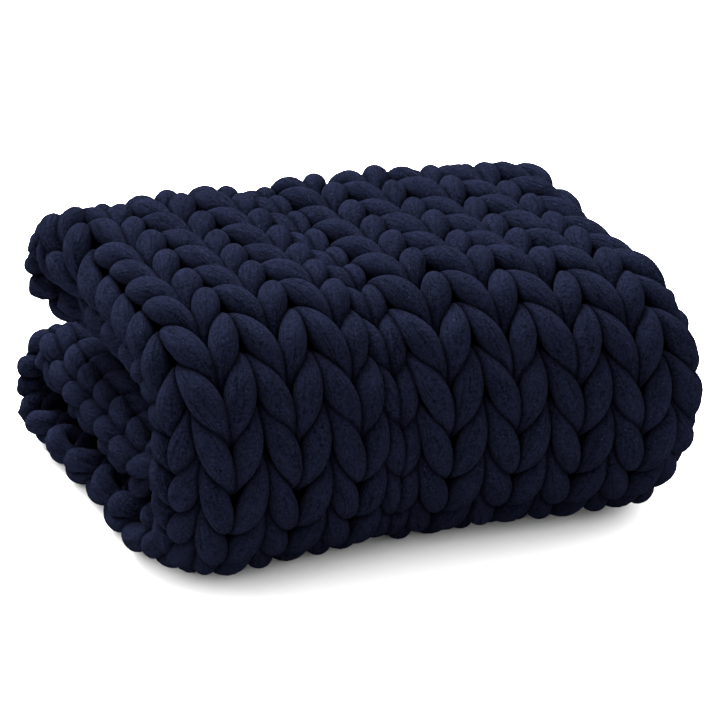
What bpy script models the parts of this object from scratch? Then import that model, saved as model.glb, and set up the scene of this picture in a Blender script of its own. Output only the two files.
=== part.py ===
"""Chunky knitted weighted blanket, folded into a plump stack of four layers.

One knitted sheet: stuffed jersey tube yarn in plain stocking stitch, folded back and forth.
Metres, +Z up, the fold that shows its columns of stitches faces -Y.
"""
import math

import bpy
import bmesh

NAME = "weighted_blanket"
NODE = "blanket"

# ---- the knitted sheet -------------------------------------------------------------------
THICK = 0.056           # sheet thickness, two plump yarns deep
COURSE = 0.0533         # one row of stitches, measured on the stitched face
LEG_RISE = 1.15         # rows climbed by one leg between its foot and its shoulder
FOOT_STEP = 0.0080      # depth of the crease under each leg
LEG_SWELL = 0.0055      # how far a leg stands out past the sheet
COLUMN_CREASE = 0.0110  # depth of the crease between two columns
CENTRE_CREASE = 0.0070  # depth of the crease down the middle of a column
KNOB = 0.0085           # how far the yarn turns stand out along the side edges
SIDE_ROUND = 0.016      # rounding of the side edges past the last column
END_ROUND = 0.018       # rounding of the first and last rows

# columns of stitches from left to right: where the middle sits and where the column ends
COLUMNS = (
    # name,     middle,  end
    ("edge_l", -0.2760, -0.2440),
    ("a",      -0.2120, -0.1790),
    ("b",      -0.1470, -0.1140),
    ("c",      -0.0820, -0.0550),
    ("tucked", -0.0380, -0.0220),
    ("d",       0.0110,  0.0440),
    ("e",       0.0765,  0.1080),
    ("f",       0.1395,  0.1715),
    ("g",       0.2030,  0.2350),
    ("edge_r",  0.2660,  0.2980),
)
FIRST_EDGE = -0.3070

# ---- the folded stack --------------------------------------------------------------------
STACK_HEIGHT = 0.286    # at the middle of its width
HEIGHT_SLOPE = -0.040   # the left end is plumper than the right
CORNER_DROP = 0.052     # share by which the back left corner sinks
BACK_RISE = 0.030       # share by which the back stands higher than the front
FRONT_CENTRE = -0.117   # where the straight layers end and the front fold begins
FRONT_DEPTH = 0.122     # centre of the front fold to the middle of the sheet
TOP_BACK = 0.128        # where the top layer turns down at the back
LOW_BACK = 0.2135       # where the floor layer turns up at the back
FIRST_AT = -0.159       # where the first row lies, on the third layer inside the front fold
LAST_AT = -0.140        # where the last row lies, on the second layer inside the front fold
SKEW = -0.120           # over the front and top the rows run askew to the folds by this share
LEAN = -0.058           # the stack leans sideways by this much to its depth
SIDE_BEND = {"left": 0.034, "right": 0.045}      # radius the side edges curl with
SIDE_START = {"left": -0.206, "right": 0.214}    # where the curl begins

# the run of the sheet from its first row, over the stack, to its last row
LENGTHS = {
    "third": LOW_BACK - FIRST_AT,
    "low_back": 0.200,
    "floor": LOW_BACK - FRONT_CENTRE,
    "front": 0.420,
    "top": TOP_BACK - FRONT_CENTRE,
    "back": 0.200,
    "second": TOP_BACK - LAST_AT,
}
ORDER = ("third", "low_back", "floor", "front", "top", "back", "second")

# how the side edges lie along the run: straight part past the start of the curl, then the angle
EDGES = (
    # stretch,   share, left_straight, left_angle, right_straight, right_angle
    ("third",    0.00, -0.004,         0.50,      -0.012,          0.06),
    ("third",    0.20,  0.004,         1.20,      -0.002,          0.06),
    ("third",    0.78,  0.004,         1.30,       0.028,          0.12),
    ("low_back", 0.10,  0.014,         0.70,       0.034,          0.12),
    ("low_back", 0.50,  0.038,         0.25,       0.040,          0.12),
    ("floor",    0.15,  0.046,         0.45,       0.040,          0.30),
    ("floor",    0.80,  0.024,         0.70,       0.036,          0.45),
    ("front",    0.14,  0.000,         1.30,       0.012,          1.00),
    ("front",    0.35,  0.000,         1.75,       0.001,          1.55),
    ("front",    0.90,  0.000,         1.90,       0.010,          1.70),
    ("top",      0.60,  0.000,         1.90,       0.012,          1.60),
    ("top",      0.90,  0.018,         1.35,       0.038,          0.80),
    ("back",     0.10,  0.042,         0.45,       0.048,          0.12),
    ("back",     0.80,  0.048,         0.16,       0.042,          0.10),
    ("second",   0.18,  0.000,         0.10,       0.006,          0.10),
    ("second",   0.45, -0.024,         0.06,      -0.012,          0.06),
    ("second",   1.00, -0.026,         0.06,      -0.014,          0.06),
)

# the stretches that show carry stitches; the rest lies face to face or flat on the floor
SHOWN = (
    (("third", 0.92), ("floor", 0.04)),
    (("front", 0.03), ("back", 0.84)),
)
STITCH_SHARES = (0.0, 0.22, 0.62)    # rings to one row of stitches
HIDDEN_STEP = COURSE / 2

COLOUR = (0.0110, 0.0130, 0.0420, 1.0)
ROUGHNESS = 0.88


def blend(t):
    """Smooth rise from 0 to 1."""
    t = min(1.0, max(0.0, t))
    return t * t * (3.0 - 2.0 * t)


def distance(stretch, share):
    """Distance along the sheet to a share of one stretch."""
    total = 0.0
    for name in ORDER:
        if name == stretch:
            return total + LENGTHS[name] * share
        total += LENGTHS[name]
    return total


SHEET_LENGTH = sum(LENGTHS.values())
EDGE_TABLE = tuple((distance(row[0], row[1]),) + tuple(row[2:]) for row in EDGES)


def edge_lie(v):
    """Straight part and curl angle of both side edges at distance v."""
    if v <= EDGE_TABLE[0][0]:
        return EDGE_TABLE[0][1:]
    for near, far in zip(EDGE_TABLE, EDGE_TABLE[1:]):
        if v <= far[0]:
            share = blend((v - near[0]) / (far[0] - near[0]))
            return tuple(a + (b - a) * share for a, b in zip(near[1:], far[1:]))
    return EDGE_TABLE[-1][1:]


def curl(u, n, v):
    """Lay the sheet across the stack: place u across the flat sheet and n off its middle."""
    left_straight, left_angle, right_straight, right_angle = edge_lie(v)
    if u < SIDE_START["left"]:
        sign, start, radius = -1.0, SIDE_START["left"], SIDE_BEND["left"]
        straight, angle, reach = left_straight, left_angle, SIDE_START["left"] - FIRST_EDGE
    elif u > SIDE_START["right"]:
        sign, start, radius = 1.0, SIDE_START["right"], SIDE_BEND["right"]
        straight, angle, reach = right_straight, right_angle, COLUMNS[-1][2] - SIDE_START["right"]
    else:
        return u, n
    past = abs(u - start)
    laid = max(straight + radius * angle, 0.2 * reach)
    run = past * laid / reach if past < reach else laid + (past - reach)
    if run <= straight:
        return start + sign * run, n
    turn = (run - straight) / radius
    over = 0.0
    if turn > angle:
        over = (turn - angle) * radius
        turn = angle
    x = straight + (radius + n) * math.sin(turn) + over * math.cos(turn)
    m = (radius + n) * math.cos(turn) - radius - over * math.sin(turn)
    return start + sign * x, m


def skewed(v):
    """How far the rows run askew to the folds: only over the front, the top and the back."""
    rise = blend((v - distance("floor", 0.0)) / LENGTHS["floor"])
    return SKEW * rise * (1.0 - blend((v - distance("second", 0.0)) / 0.15))


def levels(x):
    """Heights of the middles of the four layers, top to floor."""
    height = STACK_HEIGHT + HEIGHT_SLOPE * max(-0.27, min(0.27, x))
    low = THICK / 2
    high = height - THICK / 2
    step = (high - low) / 3.0
    return high, high - step, high - 2.0 * step, low


def run_of_sheet(v, x):
    """Middle of the sheet and its outward normal, in the plane across the stack."""
    z_one, z_two, z_three, z_four = levels(x)
    left = v
    for name in ORDER:
        if left <= LENGTHS[name] or name == ORDER[-1]:
            break
        left -= LENGTHS[name]
    share = left / LENGTHS[name]
    if name == "third":
        return (FIRST_AT + share * LENGTHS[name], z_three), (0.0, 1.0)
    if name == "floor":
        return (LOW_BACK - share * LENGTHS[name], z_four), (0.0, -1.0)
    if name == "top":
        return (FRONT_CENTRE + share * LENGTHS[name], z_one), (0.0, 1.0)
    if name == "second":
        return (TOP_BACK - share * LENGTHS[name], z_two), (0.0, -1.0)
    turn = math.pi * share
    if name == "front":
        centre, deep, high, low = FRONT_CENTRE, -FRONT_DEPTH, z_four, z_one
    elif name == "back":
        centre, deep, high, low = TOP_BACK, (z_one - z_two) / 2, z_one, z_two
    else:
        centre, deep, high, low = LOW_BACK, (z_three - z_four) / 2, z_three, z_four
    tall = (high - low) / 2
    across, up = math.sin(turn), math.cos(turn)
    ny, nz = across / deep, up / tall
    size = math.hypot(ny, nz)
    return (centre + deep * across, (high + low) / 2 + tall * up), (ny / size, nz / size)


def settle(x, y, z):
    """The soft stack sags: one column tucked into a valley, a lower back corner, uneven sides."""
    valley = math.exp(-((x + 0.040) / 0.024) ** 2)
    corner = blend((-x - 0.08) / 0.20) * blend((y + 0.02) / 0.22)
    rise = 1.0 - 0.045 * valley - CORNER_DROP * corner + 0.012 * math.sin(9.0 * x + 0.6)
    rise += BACK_RISE * blend((y + 0.06) / 0.24)
    front = blend((-y - 0.03) / 0.16)
    y = y + front * (0.012 * valley + 0.006 * math.sin(11.0 * x + 1.9))
    y = y + 0.006 * math.sin(7.0 * x - 0.5) * blend((y - 0.05) / 0.15)
    x = x + 0.006 * math.sin(8.0 * y + 0.4) - 0.018 * (y + 0.02) * blend((-x + 0.05) / 0.30)
    x = x + LEAN * y
    return x, y, z * rise


def place(u, v, n):
    """Point of the folded blanket from its place on the flat sheet; the floor presses it flat."""
    v = v + skewed(v) * u
    x, m = curl(u, n, v)
    (y, z), (ny, nz) = run_of_sheet(min(max(v, 0.0), SHEET_LENGTH), x)
    if v < 0.0:
        y += v
    if v > SHEET_LENGTH:
        y -= v - SHEET_LENGTH
    return settle(x, y + ny * m, max(0.0, z + nz * m))


def leg_profile(phase):
    """Height of a leg across its width: a sharp step at its foot, a long slope to the next."""
    if phase < 0.22:
        share = phase / 0.22
    else:
        share = 1.0 - ((phase - 0.22) / 0.78) ** 2.2
    return -FOOT_STEP + (FOOT_STEP + LEG_SWELL) * share


def columns():
    """Places across the stitched face: six to a column, with what is pressed in there."""
    out = []
    start = FIRST_EDGE
    for _, middle, end in COLUMNS:
        left, right = middle - start, end - middle
        out.append((start, 1.0, COLUMN_CREASE))
        out.append((middle - left * 0.74, 0.74, 0.0005))
        out.append((middle - left * 0.28, 0.28, 0.0))
        out.append((middle, 0.0, CENTRE_CREASE))
        out.append((middle + right * 0.28, 0.28, 0.0))
        out.append((middle + right * 0.74, 0.74, 0.0005))
        start = end
    out.append((start, 1.0, COLUMN_CREASE))
    return out


ACROSS = columns()
PURL = ACROSS[::6]


def side_points(side, v, shrink):
    """The rounded side edge, standing out where the yarn turns into the next row."""
    start = FIRST_EDGE if side < 0 else COLUMNS[-1][2]
    knob = KNOB * (0.5 + 0.5 * math.cos(2.0 * math.pi * v / COURSE))
    out = start + side * (SIDE_ROUND * 0.55 + knob)
    return [(out, 0.26 * THICK * shrink), (out, -0.26 * THICK * shrink)]


def ring(v, shown, shrink, bend):
    """The four runs of one turn round the sheet at distance v; bend slants it along the legs."""
    rise = LEG_RISE * COURSE * bend
    half = THICK / 2 * shrink
    relief = min(1.0, bend * 2.0)
    leg = leg_profile((v / COURSE) % 1.0)
    face = []
    for u, reach, crease in ACROSS if shown else ACROSS[::6]:
        n = half + (leg - crease) * relief if shown else half
        face.append((u, v + rise * reach, n))
    side = v + rise
    right = [(u, side, n) for u, n in side_points(1, side, shrink)]
    back = [(u, side, -half) for u, _, _ in reversed(PURL)]
    left = [(u, side, n) for u, n in reversed(side_points(-1, side, shrink))]
    return face, right, back, left


def shown_span(bounds):
    """First and last distance of a stretch that shows, in whole rows of stitches."""
    return [round(distance(*bound) / COURSE) * COURSE for bound in bounds]


def hidden_rows(start, end):
    count = max(1, int(round((end - start) / HIDDEN_STEP)))
    return [(start + (end - start) * i / count, False, 0.0) for i in range(count + 1)]


def rows():
    """Every ring along the sheet: distance, whether it carries stitches, how far it bends."""
    out = []
    at = 0.0
    for bounds in SHOWN:
        first, last = shown_span(bounds)
        out += hidden_rows(at, first)[:-1]
        courses = int(round((last - first) / COURSE))
        for course in range(courses):
            for share in STITCH_SHARES:
                v = first + (course + share) * COURSE
                bend = blend((v - first) / COURSE) * blend((last - v) / (1.4 * COURSE))
                out.append((v, True, bend))
        out.append((last, True, 0.0))
        at = last + HIDDEN_STEP
    return out + hidden_rows(at, SHEET_LENGTH)


def strip(bm, low, high):
    """Faces between two runs of points that share their direction but not their count."""
    i = j = 0
    while i < len(low) - 1 or j < len(high) - 1:
        if i < len(low) - 1 and j < len(high) - 1:
            gap = low[i + 1][0] - high[j + 1][0]
            if abs(gap) < 1e-6:
                bm.faces.new((low[i][1], low[i + 1][1], high[j + 1][1], high[j][1]))
                i += 1
                j += 1
                continue
            step_low = gap < 0.0
        else:
            step_low = i < len(low) - 1
        if step_low:
            bm.faces.new((low[i][1], low[i + 1][1], high[j][1]))
            i += 1
        else:
            bm.faces.new((low[i][1], high[j + 1][1], high[j][1]))
            j += 1


def runs_of(bm, ring_points):
    """Vertices of one ring as four runs that share their corners, keyed by their order."""
    face, right, back, left = ring_points
    made = [[bm.verts.new(place(*p)) for p in run] for run in ring_points]
    face_v, right_v, back_v, left_v = made
    first = [(p[0], v) for p, v in zip(face, face_v)]
    second = list(enumerate([face_v[-1]] + right_v + [back_v[0]]))
    third = [(-p[0], v) for p, v in zip(back, back_v)]
    fourth = list(enumerate([back_v[-1]] + left_v + [face_v[0]]))
    return first, second, third, fourth


def cap(bm, runs):
    """Close an end of the sheet between the stitched face and the back."""
    face = [v for _, v in runs[0]]
    back = [v for _, v in reversed(runs[2])]
    right = [v for _, v in runs[1]]
    left = [v for _, v in runs[3]]
    for a, b, c, d in zip(face, face[1:], back[1:], back):
        bm.faces.new((a, b, c, d))
    bm.faces.new(right)
    bm.faces.new(left)


def blanket_mesh():
    bm = bmesh.new()
    rings = [ring(-END_ROUND, False, 0.45, 0.0)]
    rings += [ring(v, shown, 1.0, bend) for v, shown, bend in rows()]
    rings.append(ring(SHEET_LENGTH + END_ROUND, False, 0.45, 0.0))
    previous = None
    for points in rings:
        runs = runs_of(bm, points)
        if previous is None:
            cap(bm, runs)
        else:
            for low, high in zip(previous, runs):
                strip(bm, low, high)
        previous = runs
    cap(bm, previous)
    bmesh.ops.triangulate(bm, faces=bm.faces[:])
    bmesh.ops.recalc_face_normals(bm, faces=bm.faces[:])
    middle = [(min(v.co[i] for v in bm.verts) + max(v.co[i] for v in bm.verts)) / 2 for i in (0, 1)]
    bmesh.ops.translate(bm, verts=bm.verts[:], vec=(-middle[0], -middle[1], 0.0))
    mesh = bpy.data.meshes.new(NODE)
    bm.to_mesh(mesh)
    bm.free()
    return mesh


def material():
    mat = bpy.data.materials.new("navy_jersey_tube_yarn")
    mat.use_nodes = True
    shader = mat.node_tree.nodes["Principled BSDF"]
    shader.inputs["Base Color"].default_value = COLOUR
    shader.inputs["Roughness"].default_value = ROUGHNESS
    shader.inputs["Metallic"].default_value = 0.0
    mat.diffuse_color = COLOUR
    return mat


def main():
    for obj in list(bpy.data.objects):
        bpy.data.objects.remove(obj, do_unlink=True)
    group = bpy.data.collections.new(NAME)
    bpy.context.scene.collection.children.link(group)
    obj = bpy.data.objects.new(NODE, blanket_mesh())
    obj.data.materials.append(material())
    group.objects.link(obj)


main()
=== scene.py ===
import math

import bpy
import numpy as np
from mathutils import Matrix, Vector
from mathutils.kdtree import KDTree


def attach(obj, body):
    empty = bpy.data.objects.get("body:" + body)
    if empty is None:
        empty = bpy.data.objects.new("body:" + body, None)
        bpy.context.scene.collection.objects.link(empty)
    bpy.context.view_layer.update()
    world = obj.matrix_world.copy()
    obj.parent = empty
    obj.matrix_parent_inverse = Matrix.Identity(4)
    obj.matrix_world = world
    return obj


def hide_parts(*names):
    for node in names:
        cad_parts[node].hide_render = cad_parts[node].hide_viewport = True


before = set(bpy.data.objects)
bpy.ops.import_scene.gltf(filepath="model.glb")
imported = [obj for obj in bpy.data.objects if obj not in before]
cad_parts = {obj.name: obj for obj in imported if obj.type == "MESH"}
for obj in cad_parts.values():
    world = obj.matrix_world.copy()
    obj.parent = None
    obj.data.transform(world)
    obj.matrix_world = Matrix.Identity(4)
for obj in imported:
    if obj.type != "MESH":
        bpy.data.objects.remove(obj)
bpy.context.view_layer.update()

# A weighted blanket hand-knitted in stocking stitch from stuffed jersey tube yarn, folded in four.
# Every stitch is drawn by the yarn itself, row after row, laid along the folded sheet.
# Sizes are in metres and angles in radians, unless a name says otherwise. A place on the flat sheet
# is u across it, v along it from its first end and n out of its face.
MM = 0.001

# ---- the knitted sheet ---------------------------------------------------------------------------
THICK = 0.056                   # from the loops behind to the legs in front
ROWS = 37
ROW_HEIGHT = 0.0533             # from one row to the next, along the sheet
FIRST_ROW = 0.0100              # where the first row starts
COLUMNS = (
    # name,     middle,  end
    ("edge_l", -0.2760, -0.2440),
    ("a",      -0.2120, -0.1790),
    ("b",      -0.1470, -0.1140),
    ("c",      -0.0820, -0.0550),
    ("tucked", -0.0380, -0.0220),
    ("d",       0.0110,  0.0440),
    ("e",       0.0765,  0.1080),
    ("f",       0.1395,  0.1715),
    ("g",       0.2030,  0.2350),
    ("edge_r",  0.2660,  0.2980),
)
FULL_COLUMN = 0.066             # width of an ordinary column
LEFT_EDGE = -0.3070
RIGHT_EDGE = COLUMNS[-1][2]

# ---- how it is folded, the same as the solid -----------------------------------------------------
STACK_HEIGHT = 0.286            # at the middle, before the stack sags
HEIGHT_SLOPE = -0.040           # height gained for each metre across
SLOPE_ENDS = 0.27               # beyond this the height stays level
FRONT_CENTRE = -0.117           # depth at which the front fold starts to turn
FRONT_DEPTH = 0.122             # how far the front fold bulges from there
TOP_BACK = 0.128                # depth at which the upper back fold starts to turn
LOW_BACK = 0.2135               # and the lower one
FIRST_AT, LAST_AT = -0.159, -0.140  # depths of the two ends of the sheet, inside the front fold
# the run of the sheet over each layer and fold in turn; layers are counted from the top
LENGTHS = {
    "third": LOW_BACK - FIRST_AT,
    "low_back": 0.200,
    "floor": LOW_BACK - FRONT_CENTRE,
    "front": 0.420,
    "top": TOP_BACK - FRONT_CENTRE,
    "back": 0.200,
    "second": TOP_BACK - LAST_AT,
}
ORDER = tuple(LENGTHS)
STARTS = np.concatenate([[0.0], np.cumsum([LENGTHS[name] for name in ORDER])])
START_OF = dict(zip(ORDER, STARTS))
SHEET_LENGTH = float(STARTS[-1])
SHOWN_FROM = START_OF["low_back"] - 0.10    # the run of the sheet that can be seen
SHOWN_TO = START_OF["second"] + 0.02
SKEW = -0.120                   # how askew the rows run over the front, the top and the back
SKEW_FADE = 0.15                # length of the second layer over which they straighten
LEAN = -0.058                   # how far the stack leans aside for each metre of depth
MIDDLE = (0.00498, 0.00523)     # middle of the footprint, taken off so it sits on the origin

# ---- how its side edges curl towards its back, left and right ------------------------------------
SIDE_BEND = (0.034, 0.045)      # radius of the curl
SIDE_START = (-0.206, 0.214)    # where it starts across the sheet
LEAST_LAID = 0.2                # share of its width that an edge always keeps
EDGES = (
    # stretch,   share, left_straight, left_angle, right_straight, right_angle
    ("third",    0.00, -0.004,         0.50,      -0.012,          0.06),
    ("third",    0.20,  0.004,         1.20,      -0.002,          0.06),
    ("third",    0.78,  0.004,         1.30,       0.028,          0.12),
    ("low_back", 0.10,  0.014,         0.70,       0.034,          0.12),
    ("low_back", 0.50,  0.038,         0.25,       0.040,          0.12),
    ("floor",    0.15,  0.046,         0.45,       0.040,          0.30),
    ("floor",    0.80,  0.024,         0.70,       0.036,          0.45),
    ("front",    0.14,  0.000,         1.30,       0.012,          1.00),
    ("front",    0.35,  0.000,         2.00,       0.001,          1.55),
    ("front",    0.90,  0.000,         2.40,       0.010,          1.70),
    ("top",      0.60,  0.000,         2.45,       0.012,          1.60),
    ("top",      0.90,  0.018,         1.45,       0.038,          0.80),
    ("back",     0.10,  0.042,         0.45,       0.048,          0.12),
    ("back",     0.80,  0.048,         0.16,       0.042,          0.10),
    ("second",   0.18,  0.000,         0.10,       0.006,          0.10),
    ("second",   0.45, -0.024,         0.06,      -0.012,          0.06),
    ("second",   1.00, -0.026,         0.06,      -0.014,          0.06),
)
EDGE_AT = np.array([START_OF[row[0]] + LENGTHS[row[0]] * row[1] for row in EDGES])
EDGE_LIE = np.array([row[2:] for row in EDGES])

# ---- how the soft stack sags ---------------------------------------------------------------------
TUCK_AT, TUCK_WIDTH = -0.040, 0.024     # the valley where one column is tucked in
TUCK_SINK = 0.045                       # share of the height that it sinks by
TUCK_INWARD = 0.012                     # and how far it goes in at the front
CORNER_DROP = 0.052                     # share of the height that the left back corner sinks by
BACK_RISE = 0.030                       # share of the height that the back stands higher by
LEFT_SPLAY = 0.018                      # how far the left end splays for each metre of depth
# where each of these fades in, as a start and a length towards the left, the front or the back
CORNER_LEFT, CORNER_BACK = (0.08, 0.20), (-0.02, 0.22)
RISE_BACK = (-0.06, 0.24)
FRONT_FADE, BACK_FADE = (0.03, 0.16), (0.05, 0.15)
SPLAY_LEFT = (-0.05, 0.30)
SPLAY_FROM = -0.02                      # depth that stays where it is
# uneven sides: size, radians for each metre, shift
TOP_WAVE = (0.012, 9.0, 0.6)            # its size is a share of the height
FRONT_WAVE = (0.006, 11.0, 1.9)
BACK_WAVE = (0.006, 7.0, -0.5)
END_WAVE = (0.006, 8.0, 0.4)

# ---- one stitch: the right half of a loop, from the strand between two columns to its head -------
STITCH = (
    # place,      across, along, off_mm, radius_mm
    ("strand",    0.500, -0.30, -20.0,   14.5),
    ("turn",      0.270, -0.56, -19.0,   12.6),
    ("foot",      0.080, -0.52, -15.0,    7.5),
    ("low_tip",   0.035, -0.30,  -5.5,    4.0),
    ("tip_out",   0.050, -0.11,   3.4,    4.6),
    ("low_leg",   0.095,  0.12,   9.2,    8.7),
    ("leg",       0.163,  0.38,  13.6,   12.2),
    ("middle",    0.242,  0.67,  15.2,   13.9),
    ("high_leg",  0.322,  0.97,  13.6,   12.2),
    ("shoulder",  0.400,  1.27,   9.6,    8.3),
    ("high_tip",  0.450,  1.51,   3.5,    4.8),
    ("bend",      0.430,  1.65,  -8.0,    5.0),
    ("head_side", 0.250,  1.76, -18.0,   12.2),
    ("head",      0.000,  1.80, -19.5,   13.0),
)
LEG = slice(5, 10)              # low_leg to shoulder
LEG_AND_TIPS = slice(4, 11)     # tip_out to high_tip
FRONT_OF_LOOP = slice(3, 12)    # low_tip to bend
BEHIND_MM = -10.0               # yarn further back than this lies behind the column
LEAST_SQUEEZED = 0.80           # share of its radius that even the narrowest column leaves a leg
# how uneven hand-knitting is: in radius, as a share of it, in off_mm, along and across
UNEVEN_LOOP = np.array([0.035, 0.9, 0.030, 0.010])      # what the two halves of a loop share
UNEVEN_HALF = np.array([0.020, 0.8, 0.020, 0.008])      # what each half adds by itself
STITCH_SEED, YARN_SEED = 29, 7
# the yarn turning round a side edge into the next row: the first of two small loops, then mirrored
EDGE_TURN = (
    # past_edge_mm, along, off_mm, radius_mm
    (-8.0,          -0.82, -14.0,  11.0),
    (6.0,           -0.90,  -9.0,  12.5),
    (13.0,          -0.68,  -2.0,  13.0),
    (5.0,           -0.46,   3.0,  11.5),
    (-5.0,          -0.30,   1.0,   9.8),
)
TURN_MIDDLE = -0.24             # along, halfway between the two

# ---- the stuffed tube's soft dents and lengthwise pinches ----------------------------------------
DENTS = ((2, 0.016), (3, 0.014), (4, 0.010))    # dents round it, and their share of its radius
DENT_DRIFT, PINCH_DRIFT = 0.16, 0.05            # how far they wander round it from ring to ring
PINCHES = 3
PINCH_DEPTH, PINCH_WIDTH = 0.050, 0.24          # share of the radius, and radians round the tube
PINCH_RATES = (0.05, 0.10)                      # how fast one comes and goes, in radians a ring
FULL_TURN = 6.28                                # each starts anywhere round the tube

# ---- painted shade on the yarn's colour: near 0, darkest, deep between stitches, 1 outside -------
# each is where the painted shade starts to lift, and how much further it is gone
SHADE_BY_OFF = (-0.008, 0.024)          # by its height off the middle of the sheet
SHADE_BY_PAST = (-0.012, 0.014)         # by how far it is past a side edge
SHADE_BY_GAP = (-0.0008, 0.0050)        # by the gap to the nearest other stretch of yarn
NEAR = 0.038                        # how far away that stretch is looked for
OWN_LENGTH = 0.030                  # length of its own yarn each way that doesn't count
ROW_APART = 10.0                    # keeps the runs of different rows apart

# ---- how finely it is drawn ----------------------------------------------------------------------
SIDES_SHOWN, SIDES_HIDDEN = 22, 12          # facets round the yarn
STEP_SHOWN, STEP_HIDDEN = 0.0056, 0.0100    # rings along the yarn
PIECE_SHOWN, PIECE_HIDDEN = 5, 20           # rows in one piece, at most
CURVE_STEPS = 8                             # from one guide place to the next
OUTWARD_STEP = 0.002                        # taken off the sheet to find which way is outward
STEEP = 0.5                                 # sideways share below which yarn runs through the sheet
CARRIED = 0.5                               # weight there of the last good direction
TINY = 1e-9                                 # the shortest direction that can be divided by


def smooth(t):
    """A soft step from 0 to 1."""
    t = np.clip(t, 0.0, 1.0)
    return t * t * (3.0 - 2.0 * t)


def rising(value, start, length):
    """0 before start, 1 a length after it, and a soft rise between."""
    return smooth((value - start) / length)


def wave(at, shape):
    """A gentle wave of a given size, turns and shift."""
    size, turns, shift = shape
    return size * np.sin(turns * at + shift)


# ---- from the flat sheet to the folded one -------------------------------------------------------
def edge_lie(v):
    """Straight part and curl angle of both side edges at distance v along the sheet."""
    row = np.clip(np.searchsorted(EDGE_AT, v) - 1, 0, len(EDGE_AT) - 2)
    share = rising(v, EDGE_AT[row], EDGE_AT[row + 1] - EDGE_AT[row])[:, None]
    return EDGE_LIE[row] * (1.0 - share) + EDGE_LIE[row + 1] * share


def curl(u, n, v):
    """Lay the sheet across the stack, with its side edges curled towards its back."""
    lie = edge_lie(v)
    x, m = u.copy(), n.copy()
    for side, sign in enumerate((-1.0, 1.0)):
        start, radius = SIDE_START[side], SIDE_BEND[side]
        reach = abs((LEFT_EDGE, RIGHT_EDGE)[side] - start)
        straight, angle = lie[:, 2 * side], lie[:, 2 * side + 1]
        past = sign * (u - start)
        laid = np.maximum(straight + radius * angle, LEAST_LAID * reach)
        run = np.where(past < reach, past * laid / reach, laid + past - reach)
        turn = np.clip((run - straight) / radius, 0.0, angle)
        over = np.where(run > straight, run - straight - turn * radius, 0.0)
        flat = np.minimum(run, straight)
        curled_x = flat + (radius + n) * np.sin(turn) + over * np.cos(turn)
        curled_m = (radius + n) * np.cos(turn) - radius - over * np.sin(turn)
        inside = past > 0.0
        x = np.where(inside, start + sign * curled_x, x)
        m = np.where(inside, curled_m, m)
    return x, m


def levels(x):
    """Heights of the middles of the four layers, top to floor."""
    height = STACK_HEIGHT + HEIGHT_SLOPE * np.clip(x, -SLOPE_ENDS, SLOPE_ENDS)
    low = THICK / 2
    high = height - THICK / 2
    step = (high - low) / 3.0
    return high, high - step, high - 2.0 * step, low


def run_of_sheet(v, x):
    """Middle of the sheet and its outward normal, in the plane across the stack."""
    one, two, three, four = levels(x)
    layers = {
        # stretch: start, direction, level
        "third": (FIRST_AT, 1.0, three),
        "floor": (LOW_BACK, -1.0, four),
        "top": (FRONT_CENTRE, 1.0, one),
        "second": (TOP_BACK, -1.0, two),
    }
    folds = {
        # stretch: centre, depth, level where it starts, level where it ends
        "front": (FRONT_CENTRE, -FRONT_DEPTH, four, one),
        "back": (TOP_BACK, (one - two) / 2, one, two),
        "low_back": (LOW_BACK, (three - four) / 2, three, four),
    }
    y, z = np.zeros_like(v), np.zeros_like(v)
    ny, nz = np.zeros_like(v), np.zeros_like(v)
    stretch = np.clip(np.searchsorted(STARTS, v, side="right") - 1, 0, len(ORDER) - 1)
    for index, name in enumerate(ORDER):
        here = stretch == index
        at = v - STARTS[index]
        if name in layers:
            start, sign, level = layers[name]
            y = np.where(here, start + sign * at, y)
            z = np.where(here, level, z)
            nz = np.where(here, sign, nz)
            continue
        centre, deep, first, last = folds[name]
        turn = math.pi * at / LENGTHS[name]
        tall = (first - last) / 2
        across, up = np.sin(turn), np.cos(turn)
        size = np.hypot(across / deep, up / tall)
        y = np.where(here, centre + deep * across, y)
        z = np.where(here, (first + last) / 2 + tall * up, z)
        ny = np.where(here, across / deep / size, ny)
        nz = np.where(here, up / tall / size, nz)
    return y, z, ny, nz


def skewed(v):
    """How far the rows run askew to the folds: only over the front, the top and the back."""
    begins = rising(v, START_OF["floor"], LENGTHS["floor"])
    return SKEW * begins * (1.0 - rising(v, START_OF["second"], SKEW_FADE))


def settle(x, y, z):
    """The soft stack sags: one column tucked into a valley, a lower back corner, uneven sides."""
    valley = np.exp(-((x - TUCK_AT) / TUCK_WIDTH) ** 2)
    corner = rising(-x, *CORNER_LEFT) * rising(y, *CORNER_BACK)
    rise = 1.0 - TUCK_SINK * valley - CORNER_DROP * corner + wave(x, TOP_WAVE)
    rise = rise + BACK_RISE * rising(y, *RISE_BACK)
    y = y + rising(-y, *FRONT_FADE) * (TUCK_INWARD * valley + wave(x, FRONT_WAVE))
    y = y + rising(y, *BACK_FADE) * wave(x, BACK_WAVE)
    x = x + wave(y, END_WAVE) - LEFT_SPLAY * (y - SPLAY_FROM) * rising(-x, *SPLAY_LEFT)
    x = x + LEAN * y
    return x, y, z * rise


def place(u, v, n):
    """Points of the folded blanket from their places on the flat sheet."""
    v = v + skewed(v) * u
    x, m = curl(u, n, v)
    y, z, ny, nz = run_of_sheet(np.clip(v, 0.0, SHEET_LENGTH), x)
    y = y + np.minimum(v, 0.0) - np.maximum(v - SHEET_LENGTH, 0.0)
    x, y, z = settle(x, y + ny * m, z + nz * m)
    return np.stack([x - MIDDLE[0], y - MIDDLE[1], z], axis=1)


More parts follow.
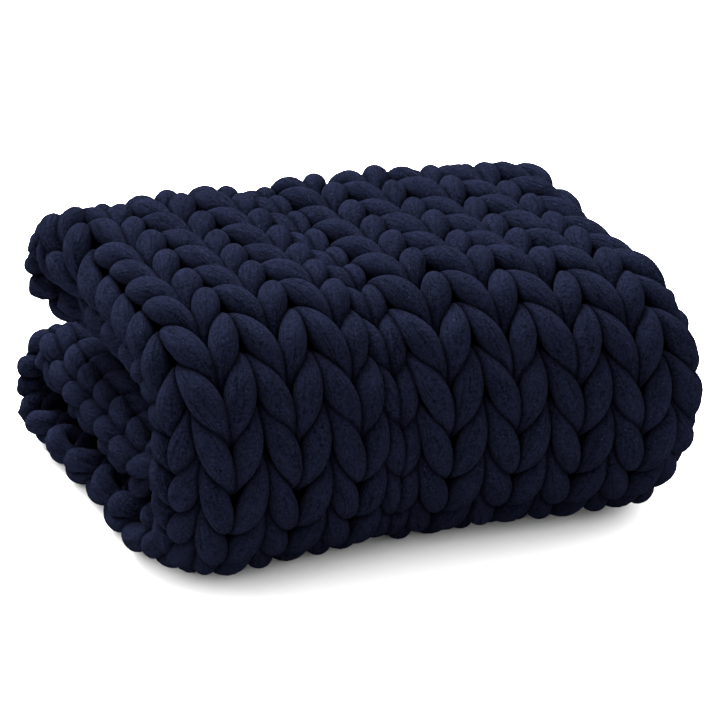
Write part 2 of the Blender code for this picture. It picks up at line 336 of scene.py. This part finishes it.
# ---- the yarn's path -----------------------------------------------------------------------------
def guide_places(u, row, along, off_mm, radius_mm):
    """Guide places of the yarn: across the sheet, along it, off it, and the radius there."""
    v = FIRST_ROW + (row + along) * ROW_HEIGHT
    return np.stack([u, v, off_mm * MM, radius_mm * MM], axis=1)


def half_stitch(middle, width, sign, row, loop, rng):
    """Guide places of one half of a stitch in a column of this width, a little uneven."""
    across, along, off, radius = np.array([part[1:] for part in STITCH]).T
    thicker, prouder, further, aside = UNEVEN_LOOP * loop + UNEVEN_HALF * rng.normal(size=4)
    radius[LEG_AND_TIPS] *= 1.0 + thicker
    off[LEG] += prouder
    along[FRONT_OF_LOOP] += further
    across[LEG] += aside
    # a narrow column squeezes the legs it shows, but not the loops behind them
    squeezed = min(1.0, LEAST_SQUEEZED + (1.0 - LEAST_SQUEEZED) * width / FULL_COLUMN)
    radius = radius * np.where(off < BEHIND_MM, 1.0, squeezed)
    return guide_places(middle + sign * across * width, row, along, off, radius)


def row_places(row, rng):
    """Guide places of one row from its left edge to its right."""
    halves = []
    start = LEFT_EDGE
    for _, middle, end in COLUMNS:
        # the last two draws are spare
        thicker, prouder, further, aside, _, _ = rng.normal(0.0, 1.0, 6)
        # each half is knitted as in a column with both halves as wide as itself
        left = half_stitch(middle, (middle - start) * 2.0, -1.0, row,
                           (thicker, prouder, further, -aside), rng)
        right = half_stitch(middle, (end - middle) * 2.0, 1.0, row,
                            (thicker, prouder, further, aside), rng)
        # the halves share a head, and neighbouring columns the strand between them
        halves += [left[1:-1], right[:0:-1], right[:1]]
        start = end
    return np.concatenate(halves[:-1])


def edge_turn(row, side):
    """Guide places where the yarn leaves a row at a side edge and climbs into the next."""
    edge, sign = ((LEFT_EDGE, -1.0), (RIGHT_EDGE, 1.0))[side]
    turn = np.array(EDGE_TURN)
    back = turn[::-1].copy()
    back[:, 1] = 2.0 * TURN_MIDDLE - back[:, 1]
    turn = np.concatenate([turn, back])
    return guide_places(edge + sign * turn[:, 0] * MM, row, *turn[:, 1:].T)


def yarn_rows():
    """Guide places of every row in knitting order, turning back at each side edge."""
    rng = np.random.default_rng(STITCH_SEED)
    rows = []
    for row in range(ROWS):
        # the first and last places give way to the turn round the edge
        guide = row_places(row, rng)[1:-1]
        side = 1 if row % 2 == 0 else 0
        if side == 0:
            guide = guide[::-1]
        if row < ROWS - 1:
            guide = np.concatenate([guide, edge_turn(row, side)])
        # each row but the first starts from the last place of the one before
        rows.append(np.concatenate([rows[-1][-1:], guide]) if rows else guide)
    return rows


def shown_row(row):
    """Whether a row lies where it can be seen, and not face to face inside the stack."""
    return SHOWN_FROM < FIRST_ROW + row * ROW_HEIGHT < SHOWN_TO


def curve_through(points, share):
    """Catmull-Rom places through guide points; share holds place numbers such as 3.25."""
    padded = np.concatenate([2 * points[:1] - points[1:2], points, 2 * points[-1:] - points[-2:-1]])
    index = np.clip(share.astype(int), 0, len(points) - 2)
    t = (share - index)[:, None]
    a, b, c, d = (padded[index + k] for k in range(4))
    return 0.5 * (2 * b + (c - a) * t + (2 * a - 5 * b + 4 * c - d) * t ** 2
                  + (3 * b - 3 * c + d - a) * t ** 3)


# ---- the yarn's form -----------------------------------------------------------------------------
def dents(count, sides, rng):
    """Dents and pinches of the stuffed tube at each ring and side, as a share of its radius."""
    angle = np.linspace(0.0, 2.0 * math.pi, sides, endpoint=False)[None, :]
    along = np.arange(count)[:, None]
    field = np.zeros((count, sides))
    for fold, size in DENTS:
        drift = np.cumsum(rng.normal(0.0, DENT_DRIFT, count))[:, None] + rng.uniform(0, FULL_TURN)
        field += size * np.cos(fold * angle + drift)
    for _ in range(PINCHES):
        centre = np.cumsum(rng.normal(0.0, PINCH_DRIFT, count))[:, None] + rng.uniform(0, FULL_TURN)
        depth = np.sin(along * rng.uniform(*PINCH_RATES) + rng.uniform(0, FULL_TURN))
        off = np.angle(np.exp(1j * (angle - centre)))
        field -= PINCH_DEPTH * np.clip(depth, 0, 1) * np.exp(-(off / PINCH_WIDTH) ** 2)
    return field


def ring_axes(centre, outward):
    """Sideways and outward directions of each ring along the yarn."""
    along = np.gradient(centre, axis=0)
    along /= np.linalg.norm(along, axis=1, keepdims=True)
    side = np.cross(along, outward)
    length = np.linalg.norm(side, axis=1)
    clear = length / np.linalg.norm(outward, axis=1)
    side /= np.maximum(length, TINY)[:, None]
    # where the yarn runs straight through the sheet the last good direction is carried on
    for i in range(1, len(side)):
        if clear[i] < STEEP:
            carried = side[i - 1] - along[i] * np.dot(side[i - 1], along[i])
            carried /= max(np.linalg.norm(carried), TINY)
            agrees = 1 if np.dot(side[i], carried) > 0 else 0
            side[i] = side[i] * clear[i] / STEEP * agrees + carried * CARRIED
            side[i] /= np.linalg.norm(side[i])
    return side, np.cross(side, along)


def tube(guide, shown, rng):
    """A length of yarn through its guide places: rings of points, and its middle line and radius."""
    sides = SIDES_SHOWN if shown else SIDES_HIDDEN
    step = STEP_SHOWN if shown else STEP_HIDDEN
    spans = len(guide) - 1
    fine = curve_through(guide, np.linspace(0, spans, spans * CURVE_STEPS + 1))
    centre = place(fine[:, 0], fine[:, 1], fine[:, 2])
    length = np.concatenate([[0.0], np.cumsum(np.linalg.norm(np.diff(centre, axis=0), axis=1))])
    at = np.linspace(0.0, length[-1], int(round(length[-1] / step)) + 1)
    u, v, n, radius = (np.interp(at, length, fine[:, k]) for k in range(4))
    centre = place(u, v, n)
    side, rise = ring_axes(centre, place(u, v, n + OUTWARD_STEP) - centre)
    angle = np.linspace(0.0, 2.0 * math.pi, sides, endpoint=False)
    ring = radius[:, None] * (1.0 + dents(len(at), sides, rng))
    points = (centre[:, None, :]
              + side[:, None, :] * (np.cos(angle)[None, :] * ring)[:, :, None]
              + rise[:, None, :] * (np.sin(angle)[None, :] * ring)[:, :, None])
    # painted shade: yarn deep in the sheet is darkened as if in shadow, except at and past the side
    # edges
    off = n[:, None] + np.sin(angle)[None, :] * ring
    past = np.maximum(LEFT_EDGE - u, u - RIGHT_EDGE)[:, None]
    painted_light = np.maximum(rising(off, *SHADE_BY_OFF), rising(past, *SHADE_BY_PAST))
    return {"points": points, "at": at, "centre": centre, "radius": radius, "painted_light_share": painted_light}


def paint_crease_shade(tubes):
    """Paint shade on every point that another stretch of yarn touches or nearly touches, by lowering its
    share of full colour.
    """
    centres = np.concatenate([made["centre"] for made in tubes])
    radii = np.concatenate([made["radius"] for made in tubes])
    runs = np.concatenate([made["at"] + ROW_APART * row for row, made in enumerate(tubes)])
    tree = KDTree(len(centres))
    for index, centre in enumerate(centres):
        tree.insert(centre, index)
    tree.balance()
    base = 0
    for made in tubes:
        for index, centre in enumerate(made["centre"]):
            near = np.array([found[1] for found in tree.find_range(centre, NEAR)])
            near = near[np.abs(runs[near] - runs[base + index]) > OWN_LENGTH]
            if len(near):
                off = made["points"][index][:, None, :] - centres[near][None, :, :]
                gap = (np.linalg.norm(off, axis=2) - radii[near][None, :]).min(axis=1)
                made["painted_light_share"][index] *= rising(gap, *SHADE_BY_GAP)
        base += len(made["at"])


def yarn_piece(name, tubes, material):
    """One object holding some rows of yarn, with the run along the yarn and round it as a UV map."""
    points, faces, pairs = [], [], []
    base, offset = 0, 0.0
    for made in tubes:
        count, sides = made["points"].shape[:2]
        ring = np.arange(count - 1)[:, None] * sides
        near = np.arange(sides)[None, :]
        far = (near + 1) % sides
        quads = np.stack([ring + near, ring + far, ring + sides + far, ring + sides + near], axis=-1)
        faces.append(quads.reshape(-1, 4) + base)
        # run and turn at a quad's four corners, in the order of its points
        run = made["at"][:, None] + offset
        low, high, left, right = np.broadcast_arrays(run[:-1], run[1:], near / sides, (near + 1) / sides)
        pairs.append(np.stack([low, left, low, right, high, right, high, left], axis=-1).ravel())
        points.append(made["points"].reshape(-1, 3))
        base += count * sides
        offset += made["at"][-1]
    points = np.concatenate(points)
    points[:, 2] = np.maximum(points[:, 2], 0.0)
    mesh = bpy.data.meshes.new(name)
    mesh.from_pydata(points.tolist(), [], np.concatenate(faces).tolist())
    layer = mesh.uv_layers.new(name="yarn_run")
    layer.data.foreach_set("uv", np.concatenate(pairs).astype(np.float32))
    # painted shade, one value a point: 0 mixes the colour to near black, 1 leaves it as it is
    painted_light = mesh.attributes.new("painted_light", "FLOAT", "POINT")
    value = np.concatenate([made["painted_light_share"].ravel() for made in tubes])
    painted_light.data.foreach_set("value", value.astype(np.float32))
    mesh.shade_smooth()
    mesh.materials.append(material)
    mesh.update()
    obj = bpy.data.objects.new(name, mesh)
    bpy.context.scene.collection.objects.link(obj)
    return obj


# ---- materials -----------------------------------------------------------------------------------
YARN_ROUND_MM = 88.0    # round the yarn at the middle of a leg
FLOOR_SIDE = 14.0       # far enough out that its ends don't show


def srgb(text):
    """Linear colour of a six-digit hex colour."""
    parts = [int(text[i:i + 2], 16) / 255.0 for i in (0, 2, 4)]
    return [c / 12.92 if c <= 0.04045 else ((c + 0.055) / 1.055) ** 2.4 for c in parts] + [1.0]


def per_metre(size_mm):
    """Scale of a pattern laid in metres, from the size of one of its cells."""
    return 1000.0 / size_mm


def per_turn(size_mm):
    """Scale of a pattern laid round the yarn, from the width of one of its cells."""
    return YARN_ROUND_MM / size_mm


def node(tree, kind, settings=None, **links):
    """Add a node: settings are its properties, links its inputs as values or other outputs."""
    made = tree.nodes.new(kind)
    for key, value in (settings or {}).items():
        setattr(made, key, value)
    for key, value in links.items():
        socket = made.inputs[int(key[1:])] if key[0] == "_" else made.inputs[key.replace("_", " ")]
        if isinstance(value, bpy.types.NodeSocket):
            tree.links.new(value, socket)
        else:
            socket.default_value = value
    return made


def jersey_yarn():
    """Navy cotton jersey, knitted as a tube, stuffed and brushed: matt, streaked, mottled and linty,
    with painted shade between stitches.
    """
    mat = bpy.data.materials.new("navy brushed cotton jersey tube yarn")
    mat.use_nodes = True
    tree = mat.node_tree
    tree.nodes.clear()
    run = node(tree, "ShaderNodeUVMap", {"uv_map": "yarn_run"}).outputs[0]
    where = node(tree, "ShaderNodeTexCoord").outputs["Object"]
    # jersey wales, drawn 1.3 mm apart and 29 mm long so that they show: streaks of tone along the yarn,
    # raised in relief, with painted shade in the grooves between them
    ribs_at = node(tree, "ShaderNodeMapping", None, Vector=run,
                   Scale=(per_metre(29.0), per_turn(1.3), 1.0))
    ribs = node(tree, "ShaderNodeTexNoise", {"noise_dimensions": "2D"}, Vector=ribs_at.outputs[0],
                Scale=1.0, Detail=5.0, Roughness=0.7)
    # creases where the stuffed tube is squeezed: thin lines, 11 mm apart and up to 100 mm long, cut in
    # as relief and painted darker as shade
    crease_at = node(tree, "ShaderNodeMapping", None, Vector=run,
                     Scale=(per_metre(100.0), per_turn(11.0), 1.0))
    crease_map = node(tree, "ShaderNodeTexNoise", {"noise_dimensions": "2D"},
                      Vector=crease_at.outputs[0], Scale=1.0, Detail=2.0, Roughness=0.5)
    off_line = node(tree, "ShaderNodeMath", {"operation": "SUBTRACT"}, _0=crease_map.outputs[0], _1=0.5)
    from_line = node(tree, "ShaderNodeMath", {"operation": "ABSOLUTE"}, _0=off_line.outputs[0])
    crease_and_shade = node(tree, "ShaderNodeMapRange", {"interpolation_type": "SMOOTHSTEP"},
                  Value=from_line.outputs[0], From_Min=0.0, From_Max=0.030, To_Min=0.0, To_Max=1.0)
    # brushed nap, drawn 2.6 mm coarse so that it shows: a mottle; and tone drifting over 38 mm
    nap = node(tree, "ShaderNodeTexNoise", None, Vector=where, Scale=per_metre(2.6), Detail=4.0,
               Roughness=0.75)
    patch = node(tree, "ShaderNodeTexNoise", None, Vector=where, Scale=per_metre(38.0), Detail=2.0,
                 Roughness=0.5)
    # lint: pale specks about 1 mm across, in about one cell of 4.8 mm in four
    lint_at = node(tree, "ShaderNodeTexVoronoi", None, Vector=where, Scale=per_metre(4.8))
    lint = node(tree, "ShaderNodeMapRange", {"interpolation_type": "SMOOTHSTEP"},
                Value=lint_at.outputs["Distance"], From_Min=0.05, From_Max=0.16, To_Min=1.0, To_Max=0.0)
    chance = node(tree, "ShaderNodeSeparateColor", None, Color=lint_at.outputs["Color"])
    kept = node(tree, "ShaderNodeMath", {"operation": "GREATER_THAN"}, _0=chance.outputs[0], _1=0.72)
    specks = node(tree, "ShaderNodeMath", {"operation": "MULTIPLY"}, _0=lint.outputs[0],
                  _1=kept.outputs[0])
    # dark to light navy: the patterns add up to the tone, and more weight gives more contrast; the low
    # places of the ribs and creases are painted darker as shade
    tone = -1.01    # sets the sum within the ramp below
    for pattern, weight in ((patch, 0.30), (ribs, 0.55), (nap, 2.20), (crease_and_shade, 0.16)):
        tone = node(tree, "ShaderNodeMath", {"operation": "MULTIPLY_ADD"}, _0=pattern.outputs[0],
                    _1=weight, _2=tone).outputs[0]
    colours = node(tree, "ShaderNodeValToRGB", None, Fac=tone)
    dark, light = colours.color_ramp.elements
    dark.position, dark.color = 0.30, srgb("010204")
    light.position, light.color = 0.95, srgb("0c0e1a")
    linted = node(tree, "ShaderNodeMix", {"data_type": "RGBA"}, Factor=specks.outputs[0],
                  _6=colours.outputs[0], _7=srgb("1d2033"))
    # painted shade: deep between stitches and where stitches press together the colour is mixed to near
    # black, as if in shadow
    painted_light = node(tree, "ShaderNodeAttribute", {"attribute_name": "painted_light"})
    painted_shade_factor = node(tree, "ShaderNodeMapRange", None, Value=painted_light.outputs["Fac"], From_Min=0.0,
                     From_Max=1.0, To_Min=0.06, To_Max=1.0)
    shaded = node(tree, "ShaderNodeMix", {"data_type": "RGBA"}, Factor=painted_shade_factor.outputs[0],
                  _6=srgb("000001"), _7=linted.outputs[2])
    # relief under 3 mm deep: the nap stands up most, then the ribs, and the creases cut in
    relief = 0.0
    for pattern, weight in ((ribs, 0.60), (nap, 0.95), (crease_and_shade, 0.34)):
        relief = node(tree, "ShaderNodeMath", {"operation": "MULTIPLY_ADD"}, _0=pattern.outputs[0],
                      _1=weight, _2=relief).outputs[0]
    bump = node(tree, "ShaderNodeBump", None, Height=relief, Strength=1.0, Distance=0.0028)
    rough = node(tree, "ShaderNodeMapRange", None, Value=ribs.outputs[0], From_Min=0.3, From_Max=0.7,
                 To_Min=0.98, To_Max=0.84)
    # the nap breaks up all gloss, and only its standing fibres leave a faint blue sheen at the sides
    shader = node(tree, "ShaderNodeBsdfPrincipled", None, Base_Color=shaded.outputs[2],
                  Normal=bump.outputs[0], Roughness=rough.outputs[0], Specular_IOR_Level=0.0,
                  Sheen_Weight=0.014, Sheen_Roughness=0.4, Sheen_Tint=srgb("8288b0"))
    node(tree, "ShaderNodeOutputMaterial", None, Surface=shader.outputs[0])
    return mat


def paper_floor():
    """Plain matt studio paper, lit past white, so that only the soft contact shadow shows."""
    mat = bpy.data.materials.new("plain white studio paper")
    mat.use_nodes = True
    tree = mat.node_tree
    tree.nodes.clear()
    # paper grain, drawn 3.3 mm coarse: only breaks the flatness of the sheet
    where = node(tree, "ShaderNodeTexCoord").outputs["Object"]
    grain = node(tree, "ShaderNodeTexNoise", None, Vector=where, Scale=FLOOR_SIDE * per_metre(3.3),
                 Detail=2.0)
    bump = node(tree, "ShaderNodeBump", None, Height=grain.outputs[0], Strength=0.02, Distance=0.0005)
    shader = node(tree, "ShaderNodeBsdfPrincipled", None, Base_Color=srgb("c6c6c6"),
                  Normal=bump.outputs[0], Roughness=0.95)
    node(tree, "ShaderNodeOutputMaterial", None, Surface=shader.outputs[0])
    return mat


# ---- build ---------------------------------------------------------------------------------------
def rows_by_piece():
    """Row numbers of each piece: neighbouring rows, all of them shown or all hidden."""
    pieces = []
    for row in range(ROWS):
        shown = shown_row(row)
        limit = PIECE_SHOWN if shown else PIECE_HIDDEN
        if not pieces or shown_row(pieces[-1][0]) != shown or len(pieces[-1]) >= limit:
            pieces.append([])
        pieces[-1].append(row)
    return pieces


def build_blanket():
    material = jersey_yarn()
    rng = np.random.default_rng(YARN_SEED)
    tubes = [tube(guide, shown_row(row), rng) for row, guide in enumerate(yarn_rows())]
    paint_crease_shade(tubes)
    for rows in rows_by_piece():
        name = "knit_rows_%02d_to_%02d" % (rows[0] + 1, rows[-1] + 1)
        obj = yarn_piece(name, [tubes[row] for row in rows], material)
        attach(obj, "root")
        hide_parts("blanket")


def build_floor():
    bpy.ops.mesh.primitive_plane_add(size=1.0, location=(0.0, 0.0, 0.0))
    floor = bpy.context.active_object
    floor.name = "floor"
    floor.scale = (FLOOR_SIDE, FLOOR_SIDE, 1.0)
    floor.data.materials.append(paper_floor())


# brightness of the sky against its height, 0 at the horizon and 1 overhead
SKY = ((0.30, 0.0), (0.42, 1.0), (0.60, 0.9), (1.00, 0.1))
SKY_STRENGTH = 8.6
SOFTBOX_AT = (-0.8, 4.0, 5.0)
SOFTBOX_SIDE = 4.0
SOFTBOX_WATTS = 5600.0


def build_lights():
    """A dome brightest about 30 degrees up, which keeps the contact shadow slim, and a softbox
    high behind the stack, which lifts its top against its front."""
    world = bpy.data.worlds.new("studio")
    bpy.context.scene.world = world
    world.use_nodes = True
    tree = world.node_tree
    tree.nodes.clear()
    where = node(tree, "ShaderNodeTexCoord").outputs["Generated"]
    height = node(tree, "ShaderNodeSeparateXYZ", None, Vector=where)
    sky = node(tree, "ShaderNodeValToRGB", None, Fac=height.outputs[2])
    stops = sky.color_ramp.elements
    stops[0].position, stops[1].position = SKY[0][0], SKY[-1][0]
    for position, _ in SKY[1:-1]:
        stops.new(position)
    for stop, (_, level) in zip(stops, SKY):
        stop.color = (level, level, level, 1.0)
    dome = node(tree, "ShaderNodeBackground", None, Color=sky.outputs[0], Strength=SKY_STRENGTH)
    node(tree, "ShaderNodeOutputWorld", None, Surface=dome.outputs[0])

    softbox = bpy.data.lights.new("high back softbox", "AREA")
    softbox.shape = "RECTANGLE"
    softbox.size = softbox.size_y = SOFTBOX_SIDE
    softbox.energy = SOFTBOX_WATTS
    obj = bpy.data.objects.new(softbox.name, softbox)
    obj.location = SOFTBOX_AT
    obj.rotation_euler = (-Vector(SOFTBOX_AT)).to_track_quat("-Z", "Y").to_euler()
    bpy.context.scene.collection.objects.link(obj)


# where the camera stands: round from the front, up, and how far from what it looks at
AZIMUTH, ELEVATION, DISTANCE = math.radians(-20.64), math.radians(22.38), 2.2
AIM = (-0.0050, -0.0102, 0.1386)
LENS_MM = 106.9
SHIFT = (0.0229, -0.0012)


def build_camera():
    data = bpy.data.cameras.new("camera")
    data.sensor_width = 36.0
    data.lens = LENS_MM
    data.shift_x, data.shift_y = SHIFT
    obj = bpy.data.objects.new("camera", data)
    back = Vector((math.sin(AZIMUTH) * math.cos(ELEVATION), -math.cos(AZIMUTH) * math.cos(ELEVATION),
                   math.sin(ELEVATION)))
    obj.location = Vector(AIM) + back * DISTANCE
    obj.rotation_euler = (-back).to_track_quat("-Z", "Y").to_euler()
    bpy.context.scene.collection.objects.link(obj)
    bpy.context.scene.camera = obj


build_blanket()
build_floor()
build_lights()
build_camera()
bpy.context.scene.view_settings.view_transform = "Standard"

bpy.context.view_layer.update()
